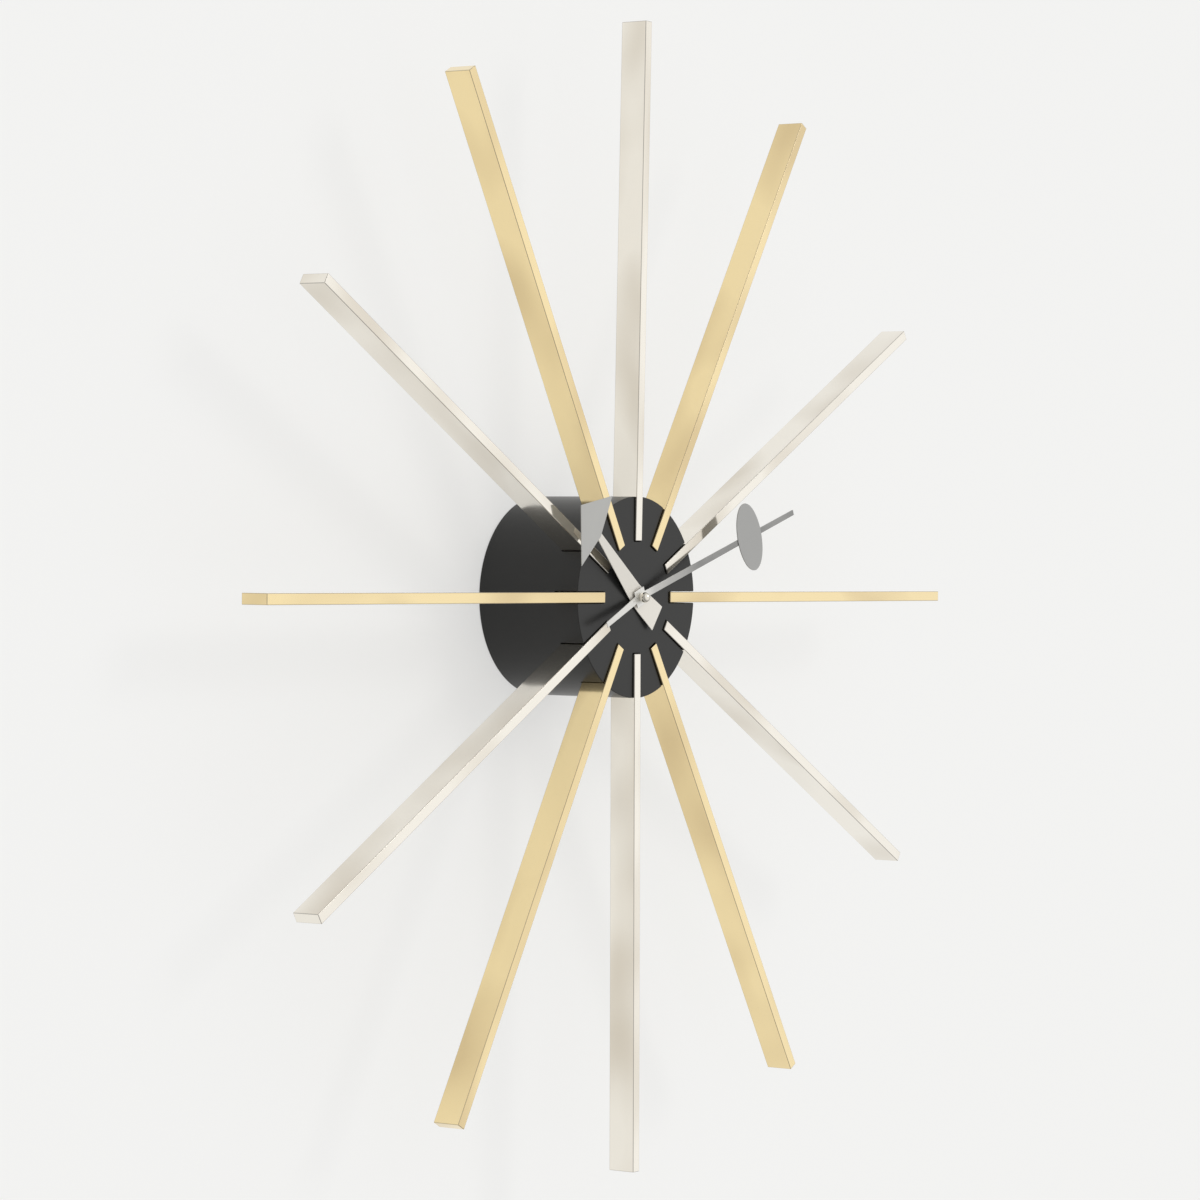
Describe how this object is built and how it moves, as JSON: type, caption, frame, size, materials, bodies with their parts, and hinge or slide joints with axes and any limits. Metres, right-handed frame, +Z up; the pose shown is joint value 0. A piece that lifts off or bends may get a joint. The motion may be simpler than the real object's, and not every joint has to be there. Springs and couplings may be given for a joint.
{
  "type": "sunburst wall clock",
  "caption": "Battery wall clock: a black drum on flat metal rays in two finishes, with an arrow hour hand, an oval-plate minute hand and a working gear train.",
  "frame": {"origin": "centre of the hanging hole's round part, in the wall plane", "axes": "+Z up, +Y into the wall, +X to the right as seen from the front; the dial looks along -Y"},
  "size_m": [0.6104, 0.0836, 0.6104],
  "materials": {
    "black_drum": "satin black paint",
    "brass_bar": "polished",
    "nickel_bar": "polished nickel",
    "zinc_steel": "zinc plated",
    "black_plastic": "matt moulded",
    "turned_brass": "turned",
    "black_rubber": "matt",
    "white_plastic": "moulded",
    "polished_hand": "satin polished",
    "grey_hand": "matt grey",
    "polished_ball": "polished",
    "bright_steel": "bright",
    "bonded_magnet": "plastic bonded ferrite",
    "copper_wire": "enamelled copper",
    "board_green": "lacquered board",
    "chip_black": "potted",
    "crystal_can": "bright can",
    "contact_metal": "nickel plated spring steel",
    "cell_jacket": "plain printed jacket",
    "knob_red": "moulded"
  },
  "bodies": {
    "clock_body": {"drum_shell": "black_drum", "ray_01": "brass_bar", "ray_02": "nickel_bar", "ray_03": "brass_bar", "ray_04": "nickel_bar", "ray_05": "brass_bar", "ray_06": "nickel_bar", "ray_07": "brass_bar", "ray_08": "nickel_bar", "ray_09": "brass_bar", "ray_10": "nickel_bar", "ray_11": "brass_bar", "ray_12": "nickel_bar", "ray_carrier": "zinc_steel", "ray_screws": "zinc_steel", "carrier_screws": "zinc_steel", "hanger_bridge": "zinc_steel", "hanger_screws": "zinc_steel", "case_front": "black_plastic", "case_rear": "black_plastic", "case_screws": "zinc_steel", "threaded_bush": "turned_brass", "cushion_washer": "black_rubber", "nut_washer": "zinc_steel", "bush_nut": "turned_brass", "stator": "bright_steel", "coil_core": "bright_steel", "coil_bobbin": "white_plastic", "coil_winding": "copper_wire", "coil_leads": "copper_wire", "circuit_board": "board_green", "board_chip": "chip_black", "quartz_crystal": "crystal_can", "contact_negative": "contact_metal", "contact_positive": "contact_metal"},
    "minute_set": {"minute_arbor": "bright_steel", "clutch_spring": "bright_steel", "minute_collet": "turned_brass", "minute_hand": "polished_hand", "minute_oval": "grey_hand", "ball_cap": "polished_ball"},
    "hour_set": {"hour_wheel": "white_plastic", "hour_collet": "turned_brass", "hour_hand": "polished_hand", "hour_pointer": "grey_hand"},
    "motion_set": {"motion_wheel": "white_plastic"},
    "knob_set": {"setting_knob": "knob_red"},
    "centre_set": {"centre_wheel": "turned_brass"},
    "third_set": {"third_wheel": "white_plastic"},
    "seconds_set": {"seconds_wheel": "white_plastic"},
    "transfer_set": {"transfer_wheel": "white_plastic"},
    "rotor_set": {"rotor_pinion": "white_plastic", "rotor_magnet": "bonded_magnet"},
    "battery_cell": {"battery": "cell_jacket"}
  },
  "joints": [
    {"name": "minute_hand_turn", "type": "hinge", "parent": "clock_body", "child": "minute_set", "pos_m": [0, -0.0407, -0.038], "axis": [0, 1, 0], "continuous": true},
    {"name": "hour_hand_turn", "type": "hinge", "parent": "clock_body", "child": "hour_set", "pos_m": [0, -0.0421, -0.038], "axis": [0, 1, 0], "continuous": true},
    {"name": "motion_wheel_turn", "type": "hinge", "parent": "clock_body", "child": "motion_set", "pos_m": [0.00985, -0.0417, -0.03626], "axis": [0, 1, 0], "continuous": true},
    {"name": "setting_knob_turn", "type": "hinge", "parent": "clock_body", "child": "knob_set", "pos_m": [0.01925, -0.0407, -0.03968], "axis": [0, 1, 0], "continuous": true},
    {"name": "transfer_wheel_turn", "type": "hinge", "parent": "clock_body", "child": "transfer_set", "pos_m": [-0.00267, -0.0347, -0.02063], "axis": [0, 1, 0], "continuous": true},
    {"name": "rotor_turn", "type": "hinge", "parent": "clock_body", "child": "rotor_set", "pos_m": [0.00293, -0.0347, -0.02063], "axis": [0, 1, 0], "continuous": true},
    {"name": "seconds_wheel_turn", "type": "hinge", "parent": "clock_body", "child": "seconds_set", "pos_m": [-0.00858, -0.0367, -0.02167], "axis": [0, 1, 0], "continuous": true},
    {"name": "third_wheel_turn", "type": "hinge", "parent": "clock_body", "child": "third_set", "pos_m": [-0.01122, -0.0377, -0.03152], "axis": [0, 1, 0], "continuous": true},
    {"name": "centre_wheel_turn", "type": "hinge", "parent": "clock_body", "child": "centre_set", "pos_m": [0, -0.0391, -0.038], "axis": [0, 1, 0], "continuous": true},
    {"name": "battery_out", "type": "slide", "parent": "clock_body", "child": "battery_cell", "axis": [0, 1, 0], "range_m": [0, 0.02]}
  ],
  "couplings": [
    {"joint": "hour_hand_turn", "follows": "minute_hand_turn", "ratio": 0.083333},
    {"joint": "motion_wheel_turn", "follows": "minute_hand_turn", "ratio": -0.33333},
    {"joint": "setting_knob_turn", "follows": "minute_hand_turn", "ratio": 1},
    {"joint": "rotor_turn", "follows": "transfer_wheel_turn", "ratio": -6},
    {"joint": "seconds_wheel_turn", "follows": "transfer_wheel_turn", "ratio": -0.2},
    {"joint": "third_wheel_turn", "follows": "transfer_wheel_turn", "ratio": 0.026667},
    {"joint": "centre_wheel_turn", "follows": "transfer_wheel_turn", "ratio": -0.0033333}
  ]
}
